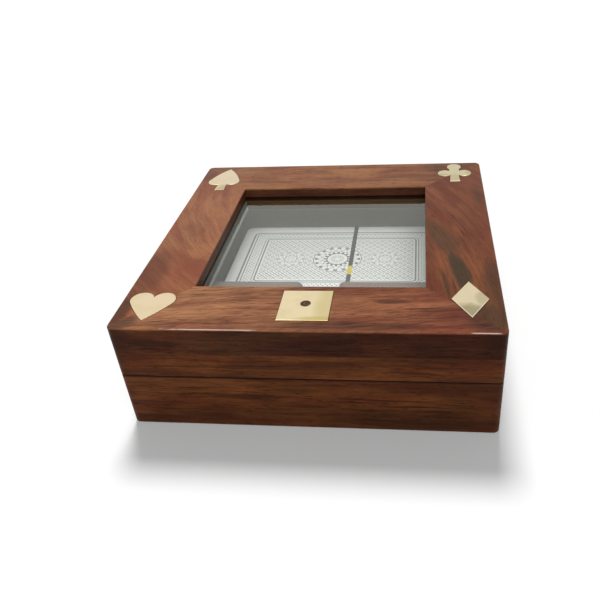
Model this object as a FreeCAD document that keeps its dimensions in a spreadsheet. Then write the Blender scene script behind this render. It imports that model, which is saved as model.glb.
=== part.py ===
"""A playing card box: a glazed, hinged lid on a lined base whose front board is a small drawer.

Millimetres, +Z up, +X to the right, front towards -Y. The origin is the middle of the underside.
"""

import FreeCAD, Part
import math
import os

import Sketcher

Vector = FreeCAD.Vector

doc = FreeCAD.newDocument("playing_card_box")

# ---------------------------------------------------------------------------------------------
# Driving dimensions
# ---------------------------------------------------------------------------------------------

SIZES = (
    ("width", 127.0, "outside, left to right"),
    ("depth", 128.8, "outside, front to back"),
    ("base_height", 21.8, "table to the middle of the seam under the lid"),
    ("lid_height", 20.0, "middle of the seam to the top of the frame"),
    ("corner_radius", 2.2, "rounding of the four upright corners"),
    ("outer_ease", 0.6, "rounding of the top and bottom outside edges"),
    ("seam_ease", 0.25, "rounding of the outside edges along the seam"),
    ("seam_gap", 0.3, "daylight between the base and the lid"),
    ("base_wall", 8.0, "thickness of the base walls"),
    ("lid_wall", 7.5, "thickness of the lid walls"),
    ("rail_front", 24.7, "width of the front rail of the lid frame"),
    ("rail_back", 25.1, "width of the back rail"),
    ("rail_left", 22.9, "width of the left rail"),
    ("rail_right", 24.5, "width of the right rail"),
    ("frame_thick", 10.2, "thickness of the lid frame over the lid walls"),
    ("ring_thick", 2.2, "thickness of the lining strips under the frame"),
    ("glass_thick", 2.0, "thickness of the window glass"),
    ("glass_depth", 4.0, "top of the frame down to the glass groove"),
    ("glass_bite", 4.0, "how far the groove goes into each rail"),
    ("glass_play", 0.1, "clearance of the glass in its groove"),
    ("bottom_thick", 3.0, "thickness of the bottom panel"),
    ("bottom_bite", 3.0, "how far the bottom panel goes under the walls"),
    ("liner_thick", 2.4, "thickness of the lined boards inside the base"),
    ("liner_rise", 3.7, "how far the lined boards stand above the seam"),
    ("divider_thick", 4.0, "thickness of the divider"),
    ("notch_centre", -1.4, "middle of the thumb notch, left to right"),
    ("notch_top", 16.5, "width of the thumb notch at the top"),
    ("notch_floor", 8.5, "width of the thumb notch at its floor"),
    ("notch_depth", 7.0, "depth of the thumb notch"),
    ("notch_round", 2.0, "rounding of the notch's four corners"),
    ("felt_thick", 1.0, "felt on the floor of the card well"),
    ("deck_length", 92.0, "wrapped deck, left to right"),
    ("deck_width", 59.0, "wrapped deck, front to back"),
    ("deck_thick", 14.0, "wrapped deck, height"),
    ("deck_corner", 3.5, "rounding of the deck's upright corners"),
    ("deck_lean", 0.2254, "deck off the middle, to the right, as a share of its side room"),
    ("deck_play", 0.3, "divider to deck"),
    ("finger_room", 6.1, "deck to the lined board behind it"),
    ("strip_width", 1.8, "tear strip round the wrapped deck"),
    ("strip_thick", 0.15, "thickness of the tear strip"),
    ("strip_shift", 6.1, "tear strip to the right of the deck's middle"),
    ("strip_drop", 4.0, "how far the tear strip turns down the deck's ends"),
    ("run_gap", 0.3, "clearance round everything that slides"),
    ("tray_side", 4.5, "thickness of the drawer's sides"),
    ("tray_back", 4.0, "thickness of the drawer's back"),
    ("tray_floor", 1.5, "thickness of the drawer's floor"),
    ("tray_felt", 0.6, "felt on the drawer's floor"),
    ("tray_drop", 1.2, "seam down to the top of the drawer's sides"),
    ("runner_level", 12.5, "table to the middle of the drawer runners"),
    ("runner_height", 2.4, "height of the drawer runners"),
    ("runner_reach", 2.0, "how far the runners stand out of the lined boards"),
    ("stop_height", 1.2, "height of the drawer stop on the bottom panel"),
    ("stop_width", 3.0, "drawer stop, front to back"),
    ("stop_length", 80.0, "drawer stop, left to right"),
    ("stop_set", 3.4, "end of the side walls to the drawer stop"),
    ("knuckle_radius", 1.8, "outside radius of the hinge knuckles"),
    ("pin_radius", 0.85, "radius of the hinge pins"),
    ("pin_play", 0.05, "radial clearance of the pins and screws"),
    ("hinge_length", 20.0, "length of each hinge"),
    ("hinge_inset", 26.0, "side of the box to the middle of a hinge"),
    ("leaf_thick", 0.8, "thickness of the hinge leaves"),
    ("leaf_reach", 5.4, "hinge axis to the far edge of a leaf"),
    ("screw_radius", 0.6, "radius of the hinge screws' shanks"),
    ("screw_head", 1.2, "radius of the hinge screws' heads"),
    ("screw_length", 5.0, "length of the hinge screws"),
    ("screw_spread", 12.0, "distance between the two screws of a leaf"),
    ("lid_swing", 100.0, "degrees that the lid opens, set by the two back bevels"),
    ("inlay_thick", 1.2, "thickness of the brass inlays"),
    ("inlay_proud", 0.25, "how far the inlays stand above the frame"),
    ("inlay_round", 0.2, "rounding of the top edge of the inlays"),
    ("inlay_gap", 0.15, "glue line round the inlays"),
    ("heart_side", 10.7, "left side of the box to the middle of the heart"),
    ("heart_end", 12.4, "front of the box to the middle of the heart"),
    ("heart_width", 15.9, "heart, left to right"),
    ("heart_length", 15.9, "heart, lobes to tip"),
    ("heart_lobe", 4.1, "radius of the heart's lobes"),
    ("heart_swell", 0.3, "how far the heart's sides swell out of straight"),
    ("spade_side", 11.2, "left side of the box to the middle of the spade"),
    ("spade_end", 14.6, "back of the box to the middle of the spade"),
    ("spade_width", 14.4, "spade, left to right"),
    ("spade_length", 22.6, "spade, tip to foot"),
    ("spade_lobe", 3.5, "radius of the spade's lobes"),
    ("spade_swell", 0.7, "how far the spade's sides swell out of straight"),
    ("spade_stem", 5.4, "length of the spade's stem below the lobes"),
    ("club_side", 11.6, "right side of the box to the middle of the club"),
    ("club_end", 11.3, "back of the box to the middle of the club"),
    ("club_width", 14.6, "club, left to right"),
    ("club_length", 18.4, "club, top to foot"),
    ("club_lobe", 3.1, "radius of the club's lobes"),
    ("club_neck", 4.4, "width of the club between its lobes"),
    ("club_stem", 5.4, "length of the club's stem below the lobes"),
    ("stem_width", 3.4, "width of both stems at the top"),
    ("stem_foot", 4.4, "width of both stems at the foot"),
    ("diamond_side", 10.5, "right side of the box to the middle of the diamond"),
    ("diamond_end", 18.0, "front of the box to the middle of the diamond"),
    ("diamond_width", 12.0, "diamond, left to right"),
    ("diamond_length", 20.6, "diamond, front to back"),
    ("plate_shift", -0.1, "middle of the die plate, left to right"),
    ("plate_end", 13.7, "front of the box to the middle of the die plate"),
    ("plate_side", 16.8, "side of the square die plate"),
    ("pip_radius", 1.75, "radius of the pip in the die plate"),
    ("pip_shift", 0.8, "pip behind the middle of the die plate"),
)

sheet = doc.addObject("Spreadsheet::Sheet", "sizes")
for row, (alias, value, meaning) in enumerate(SIZES, start=1):
    sheet.set(f"A{row}", meaning)
    sheet.set(f"B{row}", str(value))
    sheet.setAlias(f"B{row}", alias)
doc.recompute()

# Places that several pieces share, each worked out from the driving dimensions.
PLACES = (
    ("right", "sizes.width / 2"),
    ("back", "sizes.depth / 2"),
    ("seam", "sizes.base_height"),
    ("base_top", "sizes.base_height - sizes.seam_gap / 2"),
    ("lid_low", "sizes.base_height + sizes.seam_gap / 2"),
    ("lid_top", "sizes.base_height + sizes.lid_height"),
    ("frame_low", "sizes.base_height + sizes.lid_height - sizes.frame_thick"),
    ("front_end", "sizes.base_wall - sizes.depth / 2"),
    ("liner_out_x", "sizes.width / 2 - sizes.base_wall"),
    ("liner_out_y", "sizes.depth / 2 - sizes.base_wall"),
    ("liner_in_x", "sizes.width / 2 - sizes.base_wall - sizes.liner_thick"),
    ("liner_in_y", "sizes.depth / 2 - sizes.base_wall - sizes.liner_thick"),
    ("liner_top", "sizes.base_height + sizes.liner_rise"),
    ("lid_in_x", "sizes.width / 2 - sizes.lid_wall"),
    ("lid_in_y", "sizes.depth / 2 - sizes.lid_wall"),
    ("window_left", "sizes.rail_left - sizes.width / 2"),
    ("window_right", "sizes.width / 2 - sizes.rail_right"),
    ("window_front", "sizes.rail_front - sizes.depth / 2"),
    ("window_back", "sizes.depth / 2 - sizes.rail_back"),
    ("groove_top", "sizes.base_height + sizes.lid_height - sizes.glass_depth"),
    ("deck_back", "sizes.depth / 2 - sizes.base_wall - sizes.liner_thick - sizes.finger_room"),
    ("deck_front", "places.deck_back - sizes.deck_width"),
    ("well_front", "places.deck_front - sizes.deck_play"),
    ("bay_back", "places.well_front - sizes.divider_thick"),
    ("deck_middle", "sizes.deck_lean * (places.liner_in_x - sizes.deck_length / 2)"),
    ("axis_y", "sizes.depth / 2 - sizes.knuckle_radius"),
)
places = doc.addObject("Spreadsheet::Sheet", "places")
for row, (alias, formula) in enumerate(PLACES, start=1):
    places.set(f"A{row}", alias.replace("_", " "))
    places.set(f"B{row}", "=" + formula)
    places.setAlias(f"B{row}", alias)
doc.recompute()


def size(expression):
    """The number that an expression over the two sheets stands for now."""
    return float(sheet.evalExpression(expression))


def negative(expression):
    return f"0 - ({expression})"


# ---------------------------------------------------------------------------------------------
# Ways of making a piece
# ---------------------------------------------------------------------------------------------


def box(name, x, y, z):
    """A squared board between (low, high) pairs of expressions along each axis."""
    board = doc.addObject("Part::Box", name)
    board.Label = name
    for axis, length, (low, high) in (("x", "Length", x), ("y", "Width", y), ("z", "Height", z)):
        board.setExpression(length, f"({high}) - ({low})")
        board.setExpression(f"Placement.Base.{axis}", low)
    return board


def outline_sketch(body, role, points, offset):
    """A closed outline through points, each a pair of expressions, on one of the body's planes."""
    sketch = body.newObject("Sketcher::SketchObject", body.Name + "_outline")
    plane = next(f for f in body.Origin.OriginFeatures if f.Role == role)
    sketch.AttachmentSupport = [(plane, "")]
    sketch.MapMode = "FlatFace"
    sketch.setExpression("AttachmentOffset.Base.z", offset)
    vertices = [Vector(size(across), size(along), 0) for across, along in points]
    count = len(vertices)
    for i in range(count):
        sketch.addGeometry(Part.LineSegment(vertices[i], vertices[(i + 1) % count]), False)
    for i in range(count):
        sketch.addConstraint(Sketcher.Constraint("Coincident", i, 2, (i + 1) % count, 1))
    for i, pair in enumerate(points):
        for kind, expression in zip(("DistanceX", "DistanceY"), pair):
            datum = Sketcher.Constraint(kind, -1, 1, i, 1, size(expression))
            number = sketch.addConstraint(datum)
            sketch.setExpression(f"Constraints[{number}]", expression)
    return sketch


def prism(name, points, low, high, role="XY_Plane"):
    """A PartDesign body: an outline raised from low to high along its plane's normal."""
    body = doc.addObject("PartDesign::Body", name)
    body.Label = name
    sketch = outline_sketch(body, role, points, low)
    pad = body.newObject("PartDesign::Pad", name + "_pad")
    pad.Profile = sketch
    pad.setExpression("Length", f"({high}) - ({low})")
    sketch.Visibility = False
    doc.recompute()
    return body


def round_edges(body, radius, chosen):
    """Fillets the edges of a body's tip that chosen(edge) picks."""
    base = body.Tip
    picked = [f"Edge{i}" for i, edge in enumerate(base.Shape.Edges, start=1) if chosen(edge)]
    fillet = body.newObject("PartDesign::Fillet", body.Name + "_round")
    fillet.Base = (base, picked)
    fillet.setExpression("Radius", radius)
    doc.recompute()
    return body


def is_upright(edge):
    return abs(edge.tangentAt(edge.FirstParameter).z) > 0.99


def lies_at(level):
    """Picks the edges that lie all along one height."""

    def chosen(edge):
        extent = edge.BoundBox
        return abs(extent.ZMin - level) < 0.001 and abs(extent.ZMax - level) < 0.001

    return chosen


def rectangle(left, right, front, back):
    return ((left, front), (right, front), (right, back), (left, back))


def carve(name, stock, tools):
    """The stock less every tool: the finished piece."""
    tool = tools[0]
    if len(tools) > 1:
        tool = doc.addObject("Part::MultiFuse", name + "_cuts")
        tool.Shapes = tools
    piece = doc.addObject("Part::Cut", name)
    piece.Label = name
    piece.Base = stock
    piece.Tool = tool
    return piece


def shared(name, first, second):
    """What two solids have in common."""
    piece = doc.addObject("Part::Common", name)
    piece.Label = name
    piece.Base = first
    piece.Tool = second
    return piece


def shape_piece(name, shape):
    """A piece whose shape is set from code, where neither sketches nor primitives fit."""
    piece = doc.addObject("Part::Feature", name)
    piece.Label = name
    piece.Shape = shape
    return piece


# Tools that cut right through run this far past what they cut.
PAST = 1

LEFT = negative("places.right")
FRONT = negative("places.back")
RIGHT = "places.right"
BACK = "places.back"

# Outside forms of the two halves, with their rounded corners and eased edges.


def outside(name, low, high, low_ease, high_ease):
    body = prism(name, rectangle(LEFT, RIGHT, FRONT, BACK), low, high)
    round_edges(body, "sizes.corner_radius", is_upright)
    round_edges(body, low_ease, lies_at(size(low)))
    round_edges(body, high_ease, lies_at(size(high)))
    return body


base_outside = outside("base_outside", "0", "places.base_top", "sizes.outer_ease", "sizes.seam_ease")
lid_ease = ("sizes.seam_ease", "sizes.outer_ease")
lid_outside = outside("lid_outside", "places.lid_low", "places.lid_top", *lid_ease)


def corners(left, right, front, back):
    return {
        "front_left": (left, front),
        "front_right": (right, front),
        "back_right": (right, back),
        "back_left": (left, back),
    }


SIDE_ENDS = {
    "front": ("front_left", "front_right"),
    "right": ("front_right", "back_right"),
    "back": ("back_right", "back_left"),
    "left": ("back_left", "front_left"),
}


def mitred_plan(side, outer, inner):
    """Plan of one side of a frame between two rectangles, its ends cut from corner to corner."""
    first, second = SIDE_ENDS[side]
    outer, inner = corners(*outer), corners(*inner)
    return (outer[first], outer[second], inner[second], inner[first])


def on_side(sign, low, high):
    """A left-to-right pair as it is on the right of the box, or turned over for the left."""
    return (low, high) if sign > 0 else (negative(high), negative(low))


HANDS = (("left", -1), ("right", 1))


# ---------------------------------------------------------------------------------------------
# Hinge cut-outs, shared by the back walls of the base and the lid
# ---------------------------------------------------------------------------------------------

hinge_x = "places.right - sizes.hinge_inset"
HINGES = (("left", negative(hinge_x)), ("right", hinge_x))
SCREW_SIDES = (-1, 1)


def bevel_tool(name, level, direction):
    """Wedge along the back edge, from the hinge axis out; both bevels meet when the lid is open."""
    reach = f"(sizes.knuckle_radius + {PAST})"
    drop = f"({direction}) * {reach} * tan(sizes.lid_swing / 2 * 1 deg)"
    outline = (
        ("places.axis_y", level),
        (f"places.axis_y + {reach}", f"{level} + {drop}"),
        (f"places.axis_y + {reach}", level),
    )
    end = f"places.right + {PAST}"
    return prism(name, outline, negative(end), end, role="YZ_Plane")


def cylinder_x(name, x_low, x_high, radius):
    """A round bar along the hinge axis."""
    bar = doc.addObject("Part::Cylinder", name)
    bar.setExpression("Radius", radius)
    bar.setExpression("Height", f"({x_high}) - ({x_low})")
    bar.Placement.Rotation = FreeCAD.Rotation(Vector(0, 1, 0), 90)
    bar.setExpression("Placement.Base.x", x_low)
    bar.setExpression("Placement.Base.y", "places.axis_y")
    bar.setExpression("Placement.Base.z", "places.seam")
    return bar


def screw_parts(name, centre, side, level, direction, play):
    """A countersunk screw, or with play its hole: the head's cone and the shank below it."""
    x = f"{centre} + ({side}) * sizes.screw_spread / 2"
    y = "places.axis_y - (sizes.leaf_reach + sizes.knuckle_radius + sizes.run_gap) / 2"
    turn = FreeCAD.Rotation(Vector(1, 0, 0), 180 if direction < 0 else 0)
    head = doc.addObject("Part::Cone", name + "_head")
    head.setExpression("Radius1", f"sizes.screw_head + {play}")
    head.setExpression("Radius2", f"sizes.screw_radius + {play}")
    head.setExpression("Height", "sizes.screw_head - sizes.screw_radius")
    shank = doc.addObject("Part::Cylinder", name + "_shank")
    shank.setExpression("Radius", f"sizes.screw_radius + {play}")
    shank.setExpression("Height", "sizes.screw_length")
    for part in (head, shank):
        part.Placement.Rotation = turn
        part.setExpression("Placement.Base.x", x)
        part.setExpression("Placement.Base.y", y)
        part.setExpression("Placement.Base.z", level)
    return [head, shank]


def hinge_cuts(half, level, direction):
    """Mortises for both leaves, room for the knuckles, pilot holes and the bevel."""
    cuts = [bevel_tool(f"{half}_bevel", level, direction)]
    for name, centre in HINGES:
        low = f"{centre} - sizes.hinge_length / 2"
        high = f"{centre} + sizes.hinge_length / 2"
        mortise_low, mortise_high = level, f"{level} + sizes.leaf_thick"
        if direction < 0:
            mortise_low, mortise_high = f"{level} - sizes.leaf_thick", level
        mortise = box(
            f"{half}_mortise_{name}",
            (low, high),
            ("places.axis_y - sizes.leaf_reach", "places.axis_y"),
            (mortise_low, mortise_high),
        )
        room = cylinder_x(
            f"{half}_room_{name}",
            f"{low} - sizes.run_gap",
            f"{high} + sizes.run_gap",
            "sizes.knuckle_radius + sizes.run_gap",
        )
        cuts += [mortise, room]
        for side in SCREW_SIDES:
            hole = f"{half}_pilot_{name}_{'a' if side < 0 else 'b'}"
            cuts += screw_parts(hole, centre, side, level, direction, "sizes.pin_play")
    return cuts


base_hinge_cuts = hinge_cuts("base", "places.base_top", -1)
lid_hinge_cuts = hinge_cuts("lid", "places.lid_low", 1)

# ---------------------------------------------------------------------------------------------
# Base: three walls, bottom panel, lined boards, divider and felt
# ---------------------------------------------------------------------------------------------

base_nodes = []

bottom_x = "places.liner_out_x + sizes.bottom_bite"
base_bottom = box(
    "base_bottom",
    (negative(bottom_x), bottom_x),
    ("places.front_end", "places.liner_out_y + sizes.bottom_bite"),
    ("0", "sizes.bottom_thick"),
)
base_nodes.append(base_bottom)

# The side walls stop square behind the drawer front and are mitred at the back.
base_outer = (LEFT, RIGHT, "places.front_end", BACK)
liner_out = (negative("places.liner_out_x"), "places.liner_out_x")
base_inner = (*liner_out, "places.front_end", "places.liner_out_y")
for side in ("left", "right", "back"):
    name = f"base_wall_{side}"
    stock = prism(f"{name}_stock", mitred_plan(side, base_outer, base_inner), "0", "places.base_top")
    board = shared(f"{name}_board", base_outside, stock)
    cuts = [base_bottom] + (base_hinge_cuts if side == "back" else base_hinge_cuts[:1])
    base_nodes.append(carve(name, board, cuts))

liner_z = ("sizes.bottom_thick", "places.liner_top")
for hand, sign in HANDS:
    x = on_side(sign, "places.liner_in_x", "places.liner_out_x")
    base_nodes.append(box(f"liner_{hand}", x, ("places.front_end", "places.liner_out_y"), liner_z))
inner_x = (negative("places.liner_in_x"), "places.liner_in_x")
back_y = ("places.liner_in_y", "places.liner_out_y")
base_nodes.append(box("liner_back", inner_x, back_y, liner_z))

notch_low = "places.liner_top - sizes.notch_depth"
divider_outline = (
    (negative("places.liner_in_x"), "sizes.bottom_thick"),
    ("places.liner_in_x", "sizes.bottom_thick"),
    ("places.liner_in_x", "places.liner_top"),
    ("sizes.notch_centre + sizes.notch_top / 2", "places.liner_top"),
    ("sizes.notch_centre + sizes.notch_floor / 2", notch_low),
    ("sizes.notch_centre - sizes.notch_floor / 2", notch_low),
    ("sizes.notch_centre - sizes.notch_top / 2", "places.liner_top"),
    (negative("places.liner_in_x"), "places.liner_top"),
)
divider = prism(
    "card_divider",
    divider_outline,
    negative("places.well_front"),
    negative("places.bay_back"),
    role="XZ_Plane",
)


def at_notch(edge):
    across = abs(edge.tangentAt(edge.FirstParameter).y) > 0.99
    middle = edge.CenterOfMass
    inside = abs(middle.x - size("sizes.notch_centre")) < size("sizes.notch_top") / 2 + 0.01
    return across and inside and middle.z > size(notch_low) - 0.01


round_edges(divider, "sizes.notch_round", at_notch)
base_nodes.append(divider)

base_nodes.append(
    box(
        "well_felt",
        inner_x,
        ("places.well_front", "places.liner_in_y"),
        ("sizes.bottom_thick", "sizes.bottom_thick + sizes.felt_thick"),
    )
)

# ---------------------------------------------------------------------------------------------
# Contents: the wrapped deck and its tear strip
# ---------------------------------------------------------------------------------------------

deck_low = "sizes.bottom_thick + sizes.felt_thick"
deck_top = f"{deck_low} + sizes.deck_thick"
deck = prism(
    "card_deck",
    rectangle(
        "places.deck_middle - sizes.deck_length / 2",
        "places.deck_middle + sizes.deck_length / 2",
        "places.deck_front",
        "places.deck_back",
    ),
    deck_low,
    deck_top,
)
round_edges(deck, "sizes.deck_corner", is_upright)
base_nodes.append(deck)

strip_x = "places.deck_middle + sizes.strip_shift"
strip_y = ("places.deck_front - sizes.strip_thick", "places.deck_back + sizes.strip_thick")
strip_stock = box(
    "wrap_tear_strip_stock",
    (f"{strip_x} - sizes.strip_width / 2", f"{strip_x} + sizes.strip_width / 2"),
    strip_y,
    (f"{deck_top} - sizes.strip_drop", f"{deck_top} + sizes.strip_thick"),
)
base_nodes.append(carve("wrap_tear_strip", strip_stock, [deck]))

# ---------------------------------------------------------------------------------------------
# Drawer: the front board of the base with a tray behind it, on two runners, with a stop
# ---------------------------------------------------------------------------------------------

drawer_nodes = []
front_back = "places.front_end - sizes.run_gap"
front_z = ("sizes.run_gap", "places.base_top")
front_stock = box("drawer_front_stock", (LEFT, RIGHT), (FRONT, front_back), front_z)
drawer_nodes.append(shared("drawer_front", base_outside, front_stock))

tray_x = "places.liner_in_x - sizes.run_gap"
tray_in_x = f"{tray_x} - sizes.tray_side"
tray_end = "places.bay_back - sizes.run_gap"
tray_inner_end = f"{tray_end} - sizes.tray_back"
tray_low = "sizes.bottom_thick + sizes.run_gap"
tray_top = "places.base_top - sizes.tray_drop"
floor_low = "sizes.bottom_thick + sizes.stop_height + sizes.run_gap"
floor_top = f"{floor_low} + sizes.tray_floor"
runner_low = "sizes.runner_level - sizes.runner_height / 2"
runner_high = "sizes.runner_level + sizes.runner_height / 2"
runner_in = "places.liner_in_x - sizes.runner_reach"
tray_z = (tray_low, tray_top)

for hand, sign in HANDS:
    stock = box(
        f"drawer_side_{hand}_stock",
        on_side(sign, tray_in_x, tray_x),
        (front_back, tray_end),
        tray_z,
    )
    groove = box(
        f"drawer_side_{hand}_groove",
        on_side(sign, f"{runner_in} - sizes.run_gap", f"{tray_x} + {PAST}"),
        (f"{front_back} - {PAST}", f"{tray_end} + {PAST}"),
        (f"{runner_low} - sizes.run_gap", f"{runner_high} + sizes.run_gap"),
    )
    drawer_nodes.append(carve(f"drawer_side_{hand}", stock, [groove]))
    base_nodes.append(
        box(
            f"drawer_runner_{hand}",
            on_side(sign, runner_in, "places.liner_in_x"),
            ("places.front_end", "places.bay_back"),
            (runner_low, runner_high),
        )
    )

tray_across = (negative(tray_in_x), tray_in_x)
tray_along = (front_back, tray_inner_end)
felt_z = (floor_top, f"{floor_top} + sizes.tray_felt")
drawer_nodes.append(box("drawer_back", tray_across, (tray_inner_end, tray_end), tray_z))
drawer_nodes.append(box("drawer_floor", tray_across, tray_along, (floor_low, floor_top)))
drawer_nodes.append(box("drawer_felt", tray_across, tray_along, felt_z))

# The drawer's back meets the stop at the end of its travel.
stop_front = "places.front_end + sizes.stop_set"
base_nodes.append(
    box(
        "drawer_stop",
        ("0 - sizes.stop_length / 2", "sizes.stop_length / 2"),
        (stop_front, f"{stop_front} + sizes.stop_width"),
        ("sizes.bottom_thick", "sizes.bottom_thick + sizes.stop_height"),
    )
)

# ---------------------------------------------------------------------------------------------
# Brass inlays: flat outlines, each cut as an inlay and, a glue line larger, as its recess
# ---------------------------------------------------------------------------------------------


def disc(x, y, radius):
    circle = Part.Circle(Vector(x, y, 0), Vector(0, 0, 1), radius)
    return Part.Face(Part.Wire(circle.toShape()))


def flat(points):
    return Part.Face(Part.makePolygon([Vector(x, y, 0) for x, y in points + points[:1]]))


def merged(faces):
    """One flat outline round all the faces: the underside of their joined blocks."""
    blocks = [face.extrude(Vector(0, 0, 1)) for face in faces]
    whole = blocks[0].multiFuse(blocks[1:]).removeSplitter()
    return next(face for face in whole.Faces if face.BoundBox.ZMax < 0.001)


def pointed(width, lobe, lobe_y, tip_y, swell):
    """Two round lobes that run on in swelling curves to a tip: the body of a heart or a spade."""
    lobe_x = width / 2 - lobe
    towards = math.copysign(1, tip_y - lobe_y)
    reach = math.hypot(lobe_x, tip_y - lobe_y)
    lean = math.asin(lobe / reach) + math.atan2(lobe_x, abs(tip_y - lobe_y))
    touch = Vector(lobe_x + lobe * math.cos(lean), lobe_y + towards * lobe * math.sin(lean), 0)
    tip = Vector(0, tip_y, 0)
    middle = (touch + tip) * 0.5
    bulge = middle + Vector(math.cos(lean), towards * math.sin(lean), 0) * swell
    turned = [Vector(-p.x, p.y, 0) for p in (touch, bulge)]
    start = Vector(lobe_x, lobe_y, 0)
    opposite = Vector(-lobe_x, lobe_y, 0)
    edges = [
        Part.LineSegment(start, touch).toShape(),
        Part.Arc(touch, bulge, tip).toShape(),
        Part.Arc(tip, turned[1], turned[0]).toShape(),
        Part.LineSegment(turned[0], opposite).toShape(),
        Part.LineSegment(opposite, start).toShape(),
    ]
    return [Part.Face(Part.Wire(edges)), disc(lobe_x, lobe_y, lobe), disc(-lobe_x, lobe_y, lobe)]


def stem(foot_y, top_y):
    """A stem that is a little wider at the foot."""
    foot = size("sizes.stem_foot") / 2
    top = size("sizes.stem_width") / 2
    return flat([(-foot, foot_y), (foot, foot_y), (top, top_y), (-top, top_y)])


def heart():
    half = size("sizes.heart_length") / 2
    lobe = size("sizes.heart_lobe")
    swell = size("sizes.heart_swell")
    return merged(pointed(size("sizes.heart_width"), lobe, half - lobe, -half, swell))


def spade():
    half = size("sizes.spade_length") / 2
    lobe = size("sizes.spade_lobe")
    foot = -half
    lobe_y = foot + size("sizes.spade_stem") + lobe
    parts = pointed(size("sizes.spade_width"), lobe, lobe_y, half, size("sizes.spade_swell"))
    return merged(parts + [stem(foot, lobe_y)])


def club():
    half = size("sizes.club_length") / 2
    lobe = size("sizes.club_lobe")
    foot = -half
    side_x = size("sizes.club_width") / 2 - lobe
    side_y = foot + size("sizes.club_stem") + lobe
    lobes = [disc(0, half - lobe, lobe), disc(-side_x, side_y, lobe), disc(side_x, side_y, lobe)]
    neck = size("sizes.club_neck") / 2
    middle = flat([(-neck, side_y), (neck, side_y), (neck, half - lobe), (-neck, half - lobe)])
    return merged(lobes + [middle, stem(foot, side_y)])


def diamond():
    x = size("sizes.diamond_width") / 2
    y = size("sizes.diamond_length") / 2
    return flat([(0, -y), (x, 0), (0, y), (-x, 0)])


def die_plate():
    half = size("sizes.plate_side") / 2
    return flat([(-half, -half), (half, -half), (half, half), (-half, half)])


def raised(face, centre, low, high):
    """The outline moved to its place on the frame and given its thickness."""
    solid = face.extrude(Vector(0, 0, high - low))
    solid.translate(Vector(centre[0], centre[1], low))
    return solid


def top_edges(solid):
    level = solid.BoundBox.ZMax
    return [e for e in solid.Edges if abs(e.BoundBox.ZMin - level) < 0.001]


frame_top = size("places.lid_top")
inlay_low = frame_top - (size("sizes.inlay_thick") - size("sizes.inlay_proud"))
inlay_high = frame_top + size("sizes.inlay_proud")

INLAYS = {
    "inlay_heart": (heart(), "sizes.heart_side - places.right", "sizes.heart_end - places.back"),
    "inlay_spade": (spade(), "sizes.spade_side - places.right", "places.back - sizes.spade_end"),
    "inlay_club": (club(), "places.right - sizes.club_side", "places.back - sizes.club_end"),
    "inlay_diamond": (
        diamond(),
        "places.right - sizes.diamond_side",
        "sizes.diamond_end - places.back",
    ),
    "die_plate": (die_plate(), "sizes.plate_shift", "sizes.plate_end - places.back"),
}

lid_nodes = []
recesses = {}
pip_centre = (size("sizes.plate_shift"), size("sizes.plate_end - places.back + sizes.pip_shift"))
for name, (face, x, y) in INLAYS.items():
    centre = (size(x), size(y))
    inlay = raised(face, centre, inlay_low, inlay_high)
    inlay = inlay.makeFillet(size("sizes.inlay_round"), top_edges(inlay)).Solids[0]
    if name == "die_plate":
        hole_ends = (inlay_low - PAST, inlay_high + PAST)
        hole = raised(disc(0, 0, size("sizes.pip_radius")), pip_centre, *hole_ends)
        inlay = inlay.cut(hole)
    lid_nodes.append(shape_piece(name, inlay))
    wider = face.makeOffset2D(size("sizes.inlay_gap"))
    recesses[name] = shape_piece(f"{name}_recess", raised(wider, centre, inlay_low, frame_top + PAST))

pip_radius = size("sizes.pip_radius") - size("sizes.pin_play")
pip = raised(disc(0, 0, pip_radius), pip_centre, inlay_low, frame_top + size("sizes.inlay_proud") / 2)
lid_nodes.append(shape_piece("die_pip", pip))

# ---------------------------------------------------------------------------------------------
# Lid: mitred frame round the glass, lining strips under it, four walls
# ---------------------------------------------------------------------------------------------

lid_inner_x = (negative("places.lid_in_x"), "places.lid_in_x")
lid_inner_y = (negative("places.lid_in_y"), "places.lid_in_y")
window_x = ("places.window_left", "places.window_right")
window_y = ("places.window_front", "places.window_back")
ring_top = "places.frame_low + sizes.ring_thick"
groove_low = "places.groove_top - sizes.glass_thick - 2 * sizes.glass_play"


def grown(pair, by):
    """A (low, high) pair pushed outwards at both ends."""
    low, high = pair
    return (f"{low} - ({by})", f"{high} + ({by})")


lining_room = box("lining_room", lid_inner_x, lid_inner_y, ("places.frame_low", ring_top))
glass_groove = box(
    "glass_groove",
    grown(window_x, "sizes.glass_bite"),
    grown(window_y, "sizes.glass_bite"),
    (groove_low, "places.groove_top"),
)
held = "sizes.glass_bite - sizes.glass_play"
lid_nodes.append(
    box(
        "window_glass",
        grown(window_x, held),
        grown(window_y, held),
        (f"{groove_low} + sizes.glass_play", "places.groove_top - sizes.glass_play"),
    )
)

RECESSED = {
    "front": ("inlay_heart", "inlay_diamond", "die_plate"),
    "back": ("inlay_spade", "inlay_club"),
    "left": ("inlay_heart", "inlay_spade"),
    "right": ("inlay_club", "inlay_diamond"),
}
for side, names in RECESSED.items():
    name = f"lid_frame_{side}"
    plan = mitred_plan(side, (LEFT, RIGHT, FRONT, BACK), (*window_x, *window_y))
    stock = prism(f"{name}_stock", plan, "places.frame_low", "places.lid_top")
    rail = shared(f"{name}_rail", lid_outside, stock)
    cuts = [lining_room, glass_groove] + [recesses[n] for n in names]
    lid_nodes.append(carve(name, rail, cuts))

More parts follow.
